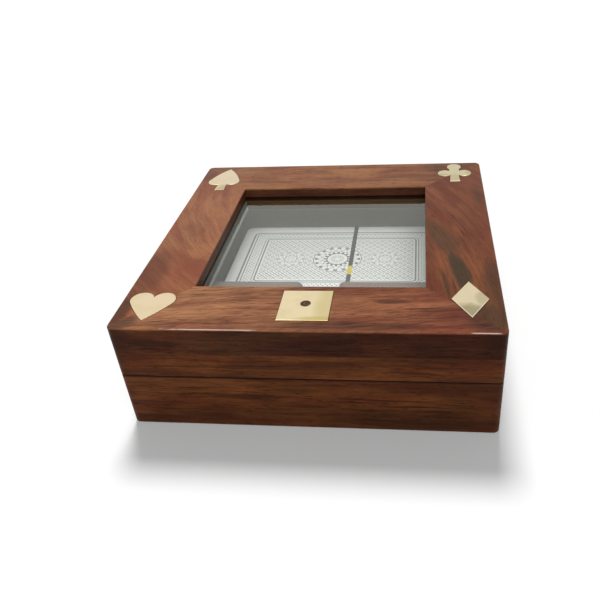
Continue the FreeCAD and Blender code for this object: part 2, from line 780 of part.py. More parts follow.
for side in ("front", "back", "left", "right"):
    name = f"lid_wall_{side}"
    plan = mitred_plan(side, (LEFT, RIGHT, FRONT, BACK), (*lid_inner_x, *lid_inner_y))
    stock = prism(f"{name}_stock", plan, "places.lid_low", "places.frame_low")
    if side == "front":
        lid_nodes.append(shared(name, lid_outside, stock))
        continue
    wall = shared(f"{name}_board", lid_outside, stock)
    cuts = lid_hinge_cuts if side == "back" else lid_hinge_cuts[:1]
    lid_nodes.append(carve(name, wall, cuts))

strip_z = ("places.frame_low", ring_top)
for side, x, y in (
    ("front", lid_inner_x, (lid_inner_y[0], window_y[0])),
    ("back", lid_inner_x, (window_y[1], lid_inner_y[1])),
    ("left", (lid_inner_x[0], window_x[0]), window_y),
    ("right", (window_x[1], lid_inner_x[1]), window_y),
):
    lid_nodes.append(box(f"lid_lining_{side}", x, y, strip_z))

# ---------------------------------------------------------------------------------------------
# Hinges: two brass butts, each two leaves with knuckles on a pin, and their screws
# ---------------------------------------------------------------------------------------------

KNUCKLES = 3
knuckle = f"(sizes.hinge_length - {KNUCKLES - 1} * sizes.run_gap) / {KNUCKLES}"


def hinge_leaf(name, centre, half, level, direction):
    """A leaf in its mortise with its share of the knuckles, bored for the pin and the screws."""
    low = f"{centre} - sizes.hinge_length / 2"
    thickness = (level, f"{level} + sizes.leaf_thick")
    if direction < 0:
        thickness = (f"{level} - sizes.leaf_thick", level)
    clear = "places.axis_y - sizes.knuckle_radius - sizes.run_gap"
    across = (low, f"{low} + sizes.hinge_length")
    parts = [box(f"{name}_plate", across, ("places.axis_y - sizes.leaf_reach", clear), thickness)]
    owned = (0, 2) if half == "base" else (1,)
    for number in owned:
        start = f"{low} + {number} * ({knuckle} + sizes.run_gap)"
        end = f"{start} + {knuckle}"
        parts.append(box(f"{name}_tongue_{number}", (start, end), (clear, "places.axis_y"), thickness))
        parts.append(cylinder_x(f"{name}_knuckle_{number}", start, end, "sizes.knuckle_radius"))
    whole = doc.addObject("Part::MultiFuse", f"{name}_blank")
    whole.Shapes = parts
    bore_end = f"{low} + sizes.hinge_length + {PAST}"
    bore_radius = "sizes.pin_radius + sizes.pin_play"
    holes = [cylinder_x(f"{name}_bore", f"{low} - {PAST}", bore_end, bore_radius)]
    for side in SCREW_SIDES:
        hole = f"{name}_hole_{'a' if side < 0 else 'b'}"
        holes += screw_parts(hole, centre, side, level, direction, "sizes.pin_play")
    return carve(name, whole, holes)


screws = {"base": [], "lid": []}
for hand, centre in HINGES:
    base_nodes.append(hinge_leaf(f"hinge_{hand}_base_leaf", centre, "base", "places.base_top", -1))
    lid_nodes.append(hinge_leaf(f"hinge_{hand}_lid_leaf", centre, "lid", "places.lid_low", 1))
    pin = cylinder_x(
        f"hinge_{hand}_pin",
        f"{centre} - sizes.hinge_length / 2",
        f"{centre} + sizes.hinge_length / 2",
        "sizes.pin_radius",
    )
    pin.Label = pin.Name
    base_nodes.append(pin)
    for half, level, direction in (("base", "places.base_top", -1), ("lid", "places.lid_low", 1)):
        for side in SCREW_SIDES:
            name = f"{half}_screw_{hand}_{'a' if side < 0 else 'b'}"
            screw = doc.addObject("Part::MultiFuse", name)
            screw.Shapes = screw_parts(name, centre, side, level, direction, "0")
            screws[half].append(screw)

for half, nodes in (("base", base_nodes), ("lid", lid_nodes)):
    group = doc.addObject("Part::Compound", f"hinge_screws_{half}")
    group.Label = group.Name
    group.Links = screws[half]
    nodes.append(group)

# ---------------------------------------------------------------------------------------------
# Check and write
# ---------------------------------------------------------------------------------------------

doc.recompute()
for item in doc.Objects:
    faults = [state for state in item.State if state in ("Invalid", "Error")]
    if faults:
        raise RuntimeError(f"{item.Label} is {', '.join(faults)}")

os.makedirs("parts", exist_ok=True)
for node in base_nodes + drawer_nodes + lid_nodes:
    shape = node.Shape
    if shape.isNull() or not shape.isValid() or not shape.Solids:
        raise RuntimeError(f"{node.Label} has no sound shape")
    shape.exportStep(f"parts/{node.Label}.step")

print(len(base_nodes), "base,", len(drawer_nodes), "drawer,", len(lid_nodes), "lid nodes")
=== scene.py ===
# A playing card box of lacquered rosewood: a hinged lid with a window, brass card suits and a brass
# die face, and a lined base that holds one wrapped deck and, behind its front board, a small drawer.

import math

import bpy
import numpy as np
from mathutils import Euler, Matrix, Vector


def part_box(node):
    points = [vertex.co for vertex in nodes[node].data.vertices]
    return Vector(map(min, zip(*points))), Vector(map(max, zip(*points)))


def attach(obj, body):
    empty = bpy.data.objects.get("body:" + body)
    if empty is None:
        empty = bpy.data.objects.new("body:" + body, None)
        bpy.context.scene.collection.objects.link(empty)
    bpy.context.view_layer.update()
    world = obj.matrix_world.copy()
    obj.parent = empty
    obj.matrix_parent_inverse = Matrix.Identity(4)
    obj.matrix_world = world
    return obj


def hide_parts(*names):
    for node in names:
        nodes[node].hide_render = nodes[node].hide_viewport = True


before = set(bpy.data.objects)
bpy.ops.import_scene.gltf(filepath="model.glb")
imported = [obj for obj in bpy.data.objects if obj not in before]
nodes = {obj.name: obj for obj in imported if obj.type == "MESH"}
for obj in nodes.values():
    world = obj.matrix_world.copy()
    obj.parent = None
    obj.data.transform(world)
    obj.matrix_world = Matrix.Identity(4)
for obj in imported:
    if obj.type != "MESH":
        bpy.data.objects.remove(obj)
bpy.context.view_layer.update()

# ---------------------------------------------------------------------------------------------
# Base walls: three boards of rosewood, 8 mm thick, mitred at the back and glued round the bottom
# panel. They are stained and sprayed with a satin lacquer that leaves the longer pores open.
# ---------------------------------------------------------------------------------------------


class Signal:
    """One output of a shader node. Sums and products of signals add Math nodes to its tree."""

    def __init__(self, socket):
        self.socket = socket

    def node(self, kind, settings=None, values=None, output=0):
        """Any other node of the same tree: its settings first, then what its sockets hold."""
        made = self.socket.id_data.nodes.new(kind)
        for name, setting in (settings or {}).items():
            setattr(made, name, setting)
        for name, value in (values or {}).items():
            feed(made.inputs[name], value)
        return Signal(made.outputs[output])

    def maths(self, operation, *others):
        """A Math node over this signal and the others, in that order."""
        return self.node("ShaderNodeMath", {"operation": operation}, dict(enumerate((self, *others))))

    def __add__(self, other):
        return self.maths("ADD", other)

    def __sub__(self, other):
        return self.maths("SUBTRACT", other)

    def __mul__(self, other):
        return self.maths("MULTIPLY", other)

    def __truediv__(self, other):
        return self.maths("DIVIDE", other)

    def __rsub__(self, other):
        return self.node("ShaderNodeMath", {"operation": "SUBTRACT"}, {0: other, 1: self})

    __radd__ = __add__
    __rmul__ = __mul__

    def __abs__(self):
        return self.maths("ABSOLUTE")

    def smooth(self, low, high):
        """0 below low, 1 above high and a smooth step between; high may be the lower one."""
        first, second, start = (low, high, 0.0) if low < high else (high, low, 1.0)
        values = {"Value": self, "From Min": first, "From Max": second}
        values.update({"To Min": start, "To Max": 1.0 - start})
        return self.node("ShaderNodeMapRange", {"interpolation_type": "SMOOTHSTEP"}, values)

    def between(self, first, second):
        """The colour first where this mask is 0, second where it is 1."""
        values = {0: self, 6: first, 7: second}
        return self.node("ShaderNodeMix", {"data_type": "RGBA"}, values, output=2)

    def times(self, colour):
        """This colour times another, channel by channel."""
        settings = {"data_type": "RGBA", "blend_type": "MULTIPLY"}
        return self.node("ShaderNodeMix", settings, {0: 1.0, 6: self, 7: colour}, output=2)

    def parts(self):
        """The three numbers of a point."""
        return [self.node("ShaderNodeSeparateXYZ", None, {0: self}, output=axis) for axis in range(3)]

    def point(self, x, y, z):
        """A point, or a grey as a colour, from three numbers."""
        return self.node("ShaderNodeCombineXYZ", None, {0: x, 1: y, 2: z})

    def noise(self, size, detail=2.0, rough=0.5, shift=(0.0, 0.0, 0.0)):
        """Smooth noise over this point, 0 to 1, with spots of that size along each axis."""
        location = tuple(s / w for s, w in zip(shift, size))
        scale = tuple(1 / w for w in size)
        placed = self.node("ShaderNodeMapping", None, {0: self, 1: location, 3: scale})
        values = {"Vector": placed, "Scale": 1.0, "Detail": detail, "Roughness": rough}
        return self.node("ShaderNodeTexNoise", None, values)

    def bump(self, height, relief):
        """The surface normal over a height field that stands up by relief millimetres."""
        values = {"Height": height, "Distance": relief * MM, "Strength": 1.0}
        return self.node("ShaderNodeBump", None, values)


def feed(socket, value):
    """Links a signal to a socket, or sets the socket to a constant."""
    if isinstance(value, Signal):
        socket.id_data.links.new(value.socket, socket)
    elif socket.type == "RGBA" and len(value) == 3:
        socket.default_value = (*value, 1.0)
    else:
        socket.default_value = value


MM = 0.001


def stain(red, green, blue):
    """The linear colour that a shader takes, from display values 0 to 255: for a share s of 255 it
    is ((s + 0.055) / 1.055) ** 2.4, or s / 12.92 where s is at most 0.04045."""
    shares = [channel / 255 for channel in (red, green, blue)]
    return tuple(s / 12.92 if s <= 0.04045 else ((s + 0.055) / 1.055) ** 2.4 for s in shares)


def new_finish(name, **constants):
    """A material with those fixed values, its shader, and the point in millimetres on the box."""
    material = bpy.data.materials.new(name)
    material.use_nodes = True
    shader = material.node_tree.nodes["Principled BSDF"]
    for socket, value in constants.items():
        feed(shader.inputs[socket.replace("_", " ")], value)
    place = Signal(material.node_tree.nodes.new("ShaderNodeTexCoord").outputs["Object"])
    settings = {"operation": "SCALE"}
    return material, shader, place.node("ShaderNodeVectorMath", settings, {0: place, 3: 1 / MM})


def put_on(material, *names):
    """Gives CAD nodes that material."""
    for name in names:
        slots = nodes[name].data.materials
        slots.clear()
        slots.append(material)


# A board: the axis that it runs along, whether its face is upright, and its own seed in the wood.
# Its grain leans, curves and wanders from a start; figure, lines, reds and ripple are strengths, and
# heart is where heartwood sets in. Glow, shade and streaks are soft ellipses, each its middle across
# and along, its half sizes and its share. Dusk and dawn change the colour from one place along the
# board to another, shaded seams are dark lines of painted shade along the gap between lid and base,
# and painted glints are pale stretches on the rim of the lacquered face: a painted highlight.
UNCHANGED = (0.0, 1.0, (1.0, 1.0, 1.0))
PLAIN_BOARD = {
    "upright": False,
    "start": 0.0,
    "lean": 0.0,
    "curve": 0.0,
    "wander": 7.0,
    "figure": 1.0,
    "lines": 0.85,
    "reds": 0.6,
    "heart": 0.60,
    "ripple": (90.0, 0.25),
    "satin": 0.36,
    "glow": (),
    "shade": (),
    "streaks": (),
    "joints": (),
    "painted_glints": (),
    "dusk": UNCHANGED,
    "dawn": UNCHANGED,
}
WANDER_SIZE = (30, 30, 60)
SEED_STEP = 9.0


def grain_of(point, board):
    """The point in a board's own wood, which is its level, its place along and its depth; then that
    level, the place along and the place across, in millimetres. Level is the place across less the
    drift lean * s + curve * s^2, where s is the way along from the start, plus a slow wander."""
    x, y, z = point.parts()
    along, across, depth = (x, y, z) if board["runs"] == "x" else (y, x, z)
    if board["upright"]:
        across, depth = depth, across
    s = along - board["start"]
    drift = s * board["lean"] + s * s * board["curve"]
    slow = point.noise(WANDER_SIZE, detail=1.0, shift=(board["seed"], 0, 0)) - 0.5
    level = across - drift + slow * board["wander"]
    return point.point(level, along, depth + board["seed"] * SEED_STEP), level, along, across


def patch(across, along, spot, fray):
    """1 inside a soft ellipse with a frayed rim: its middle and half sizes across and along."""
    middle_across, middle_along, half_across, half_along, share = spot
    beside = (across - middle_across) / half_across
    beyond = (along - middle_along) / half_along
    return (beside * beside + beyond * beyond + fray).smooth(1.5, 0.3) * share


# How large the features of rosewood are across, along and through the grain, in millimetres.
PATCHES = (10, 40, 10)
BANDS = (3.6, 55, 3.6)
LINES = (0.9, 26, 0.9)
FIBRES = (0.40, 4.5, 0.40)
PORES = (0.34, 3.6, 0.34)
GATHERINGS = (6, 30, 6)
RED_PATCHES = (8, 33, 8)
HEARTWOOD = (8.0, 110, 8.0)
RIPPLES = (6.5, 0.75, 1)
CLOUDS = (14, 14, 14)
SWELLS = (2.6, 2.6, 2.6)
FAR_BELOW = 1000.0
LACQUER = {"Specular_IOR_Level": 0.06, "Coat_Weight": 0.03, "Coat_Roughness": 0.2}
HEART_SHARE = 0.8
PLAIN_SHARE = 0.45
PORE_SHARE = 0.55
GLINT_SHARE = 0.6
SEAM_SHADE_SHARE = 0.8
SEAM_SHADE_HALF, SEAM_SHADE_SOFT = 0.45, 0.15

# How far below the lacquered face, in millimetres, it gives way to the edge, stained and darkened
# with painted shade, the ripples and the face's own heartwood end, and a painted highlight on its rim
# sets in and ends.
STAIN_AND_SHADE_FROM = (0.25, 0.9)
RIPPLED_TO = (0.7, 0.3)
GLINT_FROM = (0.03, 0.10)
GLINT_TO = (0.36, 0.20)


def lacquered_face(colour, board, tones, below, along, fibres):
    """The frame's lacquered face in its tint, under it the edge, stained and darkened with painted
    shade, and between them pale stretches on the rim: a painted highlight."""
    start, end, gain = board["dawn"]
    # Painted shade: below the face the colour is darkened, partly as the edges' stain and partly as the
    # shade on the rails' sides.
    stained_and_shaded = colour.times(tones["stain_and_shade"])
    stained_and_shaded = along.smooth(start, end).between(stained_and_shaded, stained_and_shaded.times(gain))
    colour = below.smooth(*STAIN_AND_SHADE_FROM).between(colour.times(board["tint"]), stained_and_shaded)
    # Painted highlight: pale stretches on the face's rim, standing in for glints on the eased edge.
    rim = below.smooth(*GLINT_FROM) * below.smooth(*GLINT_TO)
    for middle, half in board["painted_glints"]:
        wear_and_glint = (abs(along - middle) / half + (fibres - 0.5) * 1.5).smooth(1.1, 0.7)
        colour = (rim * wear_and_glint * GLINT_SHARE).between(colour, tones["painted_glints"])
    return colour


def rosewood(name, board, tones):
    """Lacquered rosewood: bands and red patches, lines that gather in places, fine fibres and open
    pores, all drawn out along the grain, with ripples across it and heartwood streaks."""
    board = {**PLAIN_BOARD, **board}
    figure = board["figure"]
    material, shader, point = new_finish(name, **LACQUER)
    wood, level, along, across = grain_of(point, board)
    _, _, z = point.parts()
    bands = wood.noise(BANDS, detail=4.0, rough=0.62)
    lines = wood.noise(LINES, detail=4.0, rough=0.65, shift=(3, 0, 7))
    fibres = wood.noise(FIBRES, detail=3.0, rough=0.65)
    fray = (lines - 0.5) * 1.6 + (fibres - 0.5) * 0.6

    patches = wood.noise(PATCHES, detail=3.0, rough=0.55, shift=(60, 9, 0))
    share = (patches * 0.5 + bands * 0.5).smooth(0.40, 0.60) * figure + (1.0 - figure) * PLAIN_SHARE
    for spot in board["glow"]:
        share = share.maths("MAXIMUM", patch(across, along, spot, fray))
    colour = share.between(tones["mid"], tones["light"])
    reds = wood.noise(RED_PATCHES, detail=3.0, rough=0.6, shift=(20, 3, 50)).smooth(0.45, 0.66)
    colour = (reds * board["reds"]).between(colour, tones["red"])
    gather = wood.noise(GATHERINGS, detail=2.0, shift=(0, 31, 4)).smooth(0.35, 0.65)
    drawn = lines.smooth(0.48, 0.66) * (gather * 0.7 + 0.3) * (board["lines"] * figure)
    colour = drawn.between(colour, tones["line"])

    shade = wood.noise(HEARTWOOD, detail=3.0, rough=0.6, shift=(40, 0, 11))
    shade = shade.smooth(board["heart"], board["heart"] + 0.12) * HEART_SHARE
    for spot in board["shade"]:
        shade = shade.maths("MAXIMUM", patch(across, along, spot, fray))
    for spot in board["streaks"]:
        shade = shade.maths("MAXIMUM", patch(level, along, spot, fray))
    below = board.get("skin", FAR_BELOW) - z
    face = below.smooth(*RIPPLED_TO)
    heartwood = face.between(tones["heart"], board.get("heart_tone", tones["heart"]))
    colour = shade.between(colour, heartwood)

    cloud = point.noise(CLOUDS, detail=2.0, shift=(board["seed"], 4, 0))
    light = (fibres - 0.5) * 0.75 + (bands - 0.5) * 0.5 + (cloud - 0.5) * 0.5 + 1.0
    turn, strength = board["ripple"]
    ahead, aside = math.cos(math.radians(turn)), math.sin(math.radians(turn))
    ripple = point.point(across * aside + along * ahead, along * aside - across * ahead, 0.0)
    light = light + (ripple.noise(RIPPLES, detail=3.0, rough=0.6) - 0.5) * face * strength
    light = (light - 1.0) * figure + 1.0
    colour = colour.times(light.point(light, light, light))
    pores = wood.noise(PORES, detail=1.0, shift=(0, 5, 0)).smooth(0.60, 0.70)
    colour = (pores * (PORE_SHARE * figure)).between(colour, tones["pore"])
    start, end, veil = board["dusk"]
    colour = along.smooth(start, end).between(colour, colour.times(veil))

    if "skin" in board:
        colour = lacquered_face(colour, board, tones, below, along, fibres)
    # A rail's mouth under the glass is painted over: grey lining at the left, and at the back a brown
    # that is partly wood and partly painted shade.
    if "lined" in board:
        ceiling, mouth, mouth_tone = board["lined"]
        under_glass = z.smooth(ceiling + 0.05, ceiling - 0.05)
        lined = under_glass * abs(across).smooth(mouth + 1.0, mouth + 0.5)
        colour = lined.between(colour, mouth_tone)
    # Painted shade: a dark line along the seam between lid and base, where the gap falls in shade.
    for seam_line in board["joints"]:
        seam_shade = abs(z - seam_line).smooth(SEAM_SHADE_HALF + SEAM_SHADE_SOFT, SEAM_SHADE_HALF - SEAM_SHADE_SOFT)
        colour = (seam_shade * SEAM_SHADE_SHARE).between(colour, tones["pore"])
    feed(shader.inputs["Base Color"], colour)
    feed(shader.inputs["Roughness"], (cloud - 0.5) * 0.22 + pores * 0.18 + board["satin"])
    swell = point.noise(SWELLS, detail=1.0)
    feed(shader.inputs["Normal"], swell.bump(swell * 0.5 - pores * 0.5 + fibres * 0.2, 0.05))
    return material


# These tones are darker than the frame's: partly a darker stain, partly painted shade on the upright
# sides.
SHADED_WALL_TONES = {
    "light": stain(112, 65, 35),
    "mid": stain(77, 43, 24),
    "red": stain(83, 37, 24),
    "line": stain(47, 23, 13),
    "heart": stain(52, 30, 18),
    "pore": stain(26, 13, 8),
}
SEAM_HALF = 0.15
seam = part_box("base_wall_left")[1].z / MM + SEAM_HALF
# The walls carry a dark line of painted shade along the seam between lid and base.
WALL = {"upright": True, "joints": (seam,), "satin": 0.5}
for side, runs, seed in (("left", "y", 2.0), ("right", "y", 5.0), ("back", "x", 8.0)):
    board = {**WALL, "runs": runs, "seed": seed}
    put_on(rosewood(f"rosewood_base_{side}", board, SHADED_WALL_TONES), f"base_wall_{side}")

# ---------------------------------------------------------------------------------------------
# Bottom panel, drawer runners and stop: plain pale hardwood, planed, with one thin coat of sealer
# on the underside. The panel is glued into a rabbet, and the runners to the lined boards.
# ---------------------------------------------------------------------------------------------

PLANED_BANDS = (6, 90, 6)
PLANED_FIBRES = (0.35, 9, 0.35)
PLANED_PORES = (0.28, 3, 0.28)
OPEN_PORE = stain(70, 45, 28)


def plain_wood(name, runs, seed, light, dark):
    """Planed hardwood: soft bands and fine fibres along the grain, hardly any shine."""
    material, shader, point = new_finish(name, IOR=1.45)
    wood, *_ = grain_of(point, {**PLAIN_BOARD, "runs": runs, "seed": seed, "wander": 10.0})
    bands = wood.noise(PLANED_BANDS, detail=3.0, rough=0.6)
    fibres = wood.noise(PLANED_FIBRES, detail=3.0, rough=0.6)
    pores = wood.noise(PLANED_PORES, detail=1.0, shift=(0, 0, 9)).smooth(0.64, 0.72)
    share = bands.smooth(0.3, 0.7) * 0.6 + fibres * 0.5
    colour = (pores * 0.5).between(share.between(light, dark), OPEN_PORE)
    feed(shader.inputs["Base Color"], colour)
    feed(shader.inputs["Roughness"], fibres * 0.2 + 0.5)
    feed(shader.inputs["Normal"], fibres.bump(fibres - pores, 0.04))
    return material


TRAY_LIGHT, TRAY_DARK = stain(190, 146, 102), stain(158, 112, 72)
board_wood = plain_wood("bottom_panel_wood", "x", 3.0, stain(186, 142, 98), stain(150, 104, 66))
tray_wood = plain_wood("tray_wood", "x", 6.0, TRAY_LIGHT, TRAY_DARK)
put_on(board_wood, "base_bottom")
put_on(tray_wood, "drawer_runner_left", "drawer_runner_right", "drawer_stop")

# ---------------------------------------------------------------------------------------------
# Lined boards, divider and well floor: thin boards with grey flock glued on, and a piece of grey
# felt under the deck. The divider's top edge is bare and shows its pinkish board.
# ---------------------------------------------------------------------------------------------


def flock(name, colour, fibre=0.35):
    """Short upright fibres: a fine speckle with slow worn patches, matt, with a soft sheen."""
    material, shader, point = new_finish(name, Sheen_Weight=0.25, Sheen_Roughness=0.5, Roughness=0.92)
    speckle = point.noise((fibre, fibre, fibre), detail=3.0, rough=0.7)
    nap = point.noise((9, 9, 9), detail=3.0, rough=0.6)
    light = (speckle - 0.5) * 0.7 + (nap - 0.5) * 0.35 + 1.0
    feed(shader.inputs["Base Color"], light.point(light, light, light).times(colour))
    feed(shader.inputs["Normal"], speckle.bump(speckle, 0.12))
    return material, shader, point


def painted(shader):
    """The colour that a shader has so far, to paint over."""
    return Signal(shader.inputs["Base Color"].links[0].from_socket)


GREY_FLOCK = stain(152, 149, 138)
lining, *_ = flock("grey_flock", GREY_FLOCK)
put_on(lining, "liner_left", "liner_right", "liner_back")

divider_flock, divider_shader, point = flock("divider_flock", stain(112, 113, 106))
_, _, z = point.parts()
divider_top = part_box("card_divider")[1].z / MM
bare = z.smooth(divider_top - 0.12, divider_top - 0.04)
mottles = point.noise((1.4, 1.4, 1.4), detail=3.0)
bare_board = mottles.between(stain(118, 104, 96), stain(142, 126, 118))
feed(divider_shader.inputs["Base Color"], bare.between(painted(divider_shader), bare_board))
put_on(divider_flock, "card_divider")

felt, *_ = flock("well_felt", stain(112, 114, 108), fibre=0.6)
put_on(felt, "well_felt")

# ---------------------------------------------------------------------------------------------
# Drawer: the lower front board of the box, in the same lacquered rosewood, with a pale hardwood
# tray behind it that is grooved at the sides for the runners and has felt on its floor.
# ---------------------------------------------------------------------------------------------

front_board = {
    **WALL,
    "runs": "x",
    "seed": 11.0,
    "wander": 2.0,
    "heart": 0.66,
    "glow": (
        (16.0, -36.0, 3.6, 24.0, 1.0),
        (13.0, 14.0, 4.6, 30.0, 0.9),
        (11.0, -30.0, 2.0, 20.0, 0.8),
    ),
    "shade": (
        (5.0, 0.0, 6.0, 80.0, 0.35),
        (14.0, -20.0, 0.9, 16.0, 0.7),
        (14.0, 58.0, 9.0, 14.0, 0.35),
    ),
}
put_on(rosewood("rosewood_drawer_front", front_board, SHADED_WALL_TONES), "drawer_front")
side_wood = plain_wood("tray_side_wood", "y", 9.0, TRAY_LIGHT, TRAY_DARK)
put_on(side_wood, "drawer_side_left", "drawer_side_right")
put_on(tray_wood, "drawer_back", "drawer_floor")
put_on(felt, "drawer_felt")

# ---------------------------------------------------------------------------------------------
# Deck: one pack of cards in clear wrap, its long side across the box. The back is a generic one,
# light grey ink on white. A dark tear strip with a yellow end goes round the wrap.
# ---------------------------------------------------------------------------------------------

deck_low, deck_high = (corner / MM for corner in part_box("card_deck"))
deck_middle = (deck_low + deck_high) / 2
DECK_CORNER = 3.5
WRAP_EDGE = 0.7
SHARPEST = 0.15
RIM_STEPS = 5
CAP_STEPS = 6


def rounded_outline(half_x, half_y, radius, arc_points=9, side_points=8):
    """Points round a rectangle: at each corner an arc, centre + radius * (cos a, sin a) over a
    quarter turn, and between two arcs a straight side that is divided evenly."""
    turns = np.linspace(0, math.pi / 2, arc_points)
    pieces = []
    for number, (sx, sy) in enumerate(((1, 1), (-1, 1), (-1, -1), (1, -1))):
        angle = turns + number * math.pi / 2
        centre = np.array((sx * (half_x - radius), sy * (half_y - radius)))
        pieces.append(centre + radius * np.stack((np.cos(angle), np.sin(angle)), axis=1))
    outline = []
    for number, arc in enumerate(pieces):
        following = pieces[(number + 1) % 4][0]
        steps = np.linspace(0, 1, side_points + 1)[1:-1, None]
        outline += [arc, arc[-1] + (following - arc[-1]) * steps]
    return np.concatenate(outline)


def closed_stack(name, rings, low_pole, high_pole):
    """A closed mesh of rings of equal length, one above the other: four-sided faces between each
    ring and the next, and a fan of triangles from the first and last ring to a pole."""
    count = rings.shape[1]
    points = np.concatenate((rings.reshape(-1, 3), [low_pole, high_pole]))
    here = np.arange(count)
    after = (here + 1) % count
    starts = (np.arange(len(rings) - 1) * count)[:, None]
    quads = np.stack((starts + here, starts + after, starts + count + after, starts + count + here), -1)
    low, high = len(points) - 2, len(points) - 1
    top = (len(rings) - 1) * count
    faces = quads.reshape(-1, 4).tolist()
    faces += np.stack((after, here, np.full(count, low)), -1).tolist()
    faces += np.stack((top + here, top + after, np.full(count, high)), -1).tolist()
    mesh = bpy.data.meshes.new(name)
    mesh.from_pydata(points * MM, [], faces)
    mesh.shade_smooth()
    piece = bpy.data.objects.new(name, mesh)
    bpy.context.scene.collection.objects.link(piece)
    return piece


def wrapped_block(name, low, high, corner, edge):
    """A block with rounded uprights and softened rims: each ring is the outline drawn in by
    edge * (1 - sin a) at height edge * (1 - cos a) off the end, and flat rings close the ends."""
    half = (high - low) / 2
    centre = (high + low) / 2
    arc = np.linspace(0, math.pi / 2, RIM_STEPS)
    rim = np.stack((edge * (1 - np.sin(arc)), edge * (1 - np.cos(arc))), axis=1)
    flats = np.linspace(0.12, 0.97, CAP_STEPS)[::-1] * half.y
    inset = np.concatenate((flats, rim[:, 0], rim[::-1, 0], flats[::-1]))
    level = np.concatenate((flats * 0, rim[:, 1], 2 * half.z - rim[::-1, 1], flats * 0 + 2 * half.z))
    rings = []
    for drawn_in, height in zip(inset, level):
        radius = max(corner - drawn_in, SHARPEST)
        ring = rounded_outline(half.x - drawn_in, half.y - drawn_in, radius) + (centre.x, centre.y)
        rings.append(np.column_stack((ring, np.full(len(ring), low.z + height))))
    poles = [(centre.x, centre.y, low.z), (centre.x, centre.y, high.z)]
    return closed_stack(name, np.array(rings), *poles)


wrapped_deck = wrapped_block("wrapped_deck", deck_low, deck_high, DECK_CORNER, WRAP_EDGE)


def frame_distance(u, v, half_u, half_v, corner):
    """How far a point lies outside a rectangle with rounded corners; negative inside it."""
    over_u = abs(u) - (half_u - corner)
    over_v = abs(v) - (half_v - corner)
    outer_u = over_u.maths("MAXIMUM", 0.0)
    outer_v = over_v.maths("MAXIMUM", 0.0)
    reach = (outer_u * outer_u + outer_v * outer_v).maths("SQRT")
    inner = over_u.maths("MAXIMUM", over_v).maths("MINIMUM", 0.0)
    return reach + inner - corner


def stroke(distance, width, soft=0.10):
    """1 on a line of that width where distance is 0."""
    return abs(distance).smooth(width / 2 + soft, width / 2 - soft)


def wave(signal, pitch):
    """A cosine of that pitch, -1 to 1."""
    return (signal * (2 * math.pi / pitch)).maths("COSINE")


def medallion(u, v, radius, petals):
    """Rings, a wreath of petals cos(petals * angle) between them, and a small star in the middle;
    then 1 inside the whole and 0 outside it."""
    far = (u * u + v * v).maths("SQRT")
    fan = (v.maths("ARCTAN2", u) * petals).maths("COSINE")
    wreath = stroke(far - radius * 0.74 - fan * (radius * 0.12), 0.5)
    beads = stroke(far - radius * 0.90, 0.9) * fan.smooth(-0.1, 0.3)
    star = stroke(far - radius * 0.20 - fan * (radius * 0.07), 0.45)
    spokes = stroke(far - radius * 0.52, radius * 0.13) * fan.smooth(0.0, 0.5)
    rings = stroke(far - radius, 0.35).maths("MAXIMUM", stroke(far - radius * 0.44, 0.5))
    ink = wreath
    for part in (beads, star, spokes, rings):
        ink = ink.maths("MAXIMUM", part)
    return ink, far.smooth(radius + 0.3, radius - 0.1)


# The print, in millimetres from the middle of the back: half sizes and corner of the two frames,
# the pitch of the dots between them and of the lattice inside, and each medallion's place along
# the back, radius, number of petals and weight of ink.
OUTER_FRAME = (40.6, 23.3, 2.6)
INNER_FRAME = (33.6, 17.6, 1.6)
DOT_PITCH = 1.9
LATTICE_PITCH = 3.4
MEDALLIONS = ((0.0, 10.4, 16, 1.2), (-20.5, 6.0, 10, 0.6), (20.5, 6.0, 10, 0.6))
CARD_THICKNESS = 0.27
PRINT_SHARE = 0.92
PAPER_TOP, PAPER_SIDE, PAPER_GAP_SHADE = stain(247, 246, 243), stain(206, 206, 200), stain(150, 150, 144)
INK = stain(122, 126, 124)

card_print, shader, point = new_finish("card_print", Coat_Weight=0.6, Coat_Roughness=0.07, IOR=1.45)
x, y, z = point.parts()
u, v = x - deck_middle.x, y - deck_middle.y
edge = frame_distance(u, v, *OUTER_FRAME)
inner_edge = frame_distance(u, v, *INNER_FRAME)
ink = stroke(edge, 0.75)
for line in (stroke(edge + 1.4, 0.4), stroke(inner_edge, 0.65), stroke(inner_edge - 1.2, 0.35)):
    ink = ink.maths("MAXIMUM", line)
band = edge.smooth(-1.8, -2.1) * inner_edge.smooth(1.5, 1.8)
dots = (wave(u + v, DOT_PITCH) + wave(u - v, DOT_PITCH)).smooth(0.7, 1.2)
ink = ink.maths("MAXIMUM", band * dots * 0.9)
field = inner_edge.smooth(-0.9, -1.2)
rising, falling = wave(u + v, LATTICE_PITCH), wave(u - v, LATTICE_PITCH)
lattice = rising.maths("MAXIMUM", falling).smooth(0.84, 0.95)
seeds = (rising + falling).smooth(-1.5, -1.9)
figure = field * (lattice * 0.75).maths("MAXIMUM", seeds)
for place, radius, petals, weight in MEDALLIONS:
    drawn, inside = medallion(u - place, v, radius, petals)
    figure = figure * (1.0 - inside) + drawn * inside * weight
ink = ink.maths("MAXIMUM", figure)
top_face = z.smooth(deck_high.z - 0.35, deck_high.z - 0.1)
paper = top_face.between(PAPER_SIDE, PAPER_TOP)
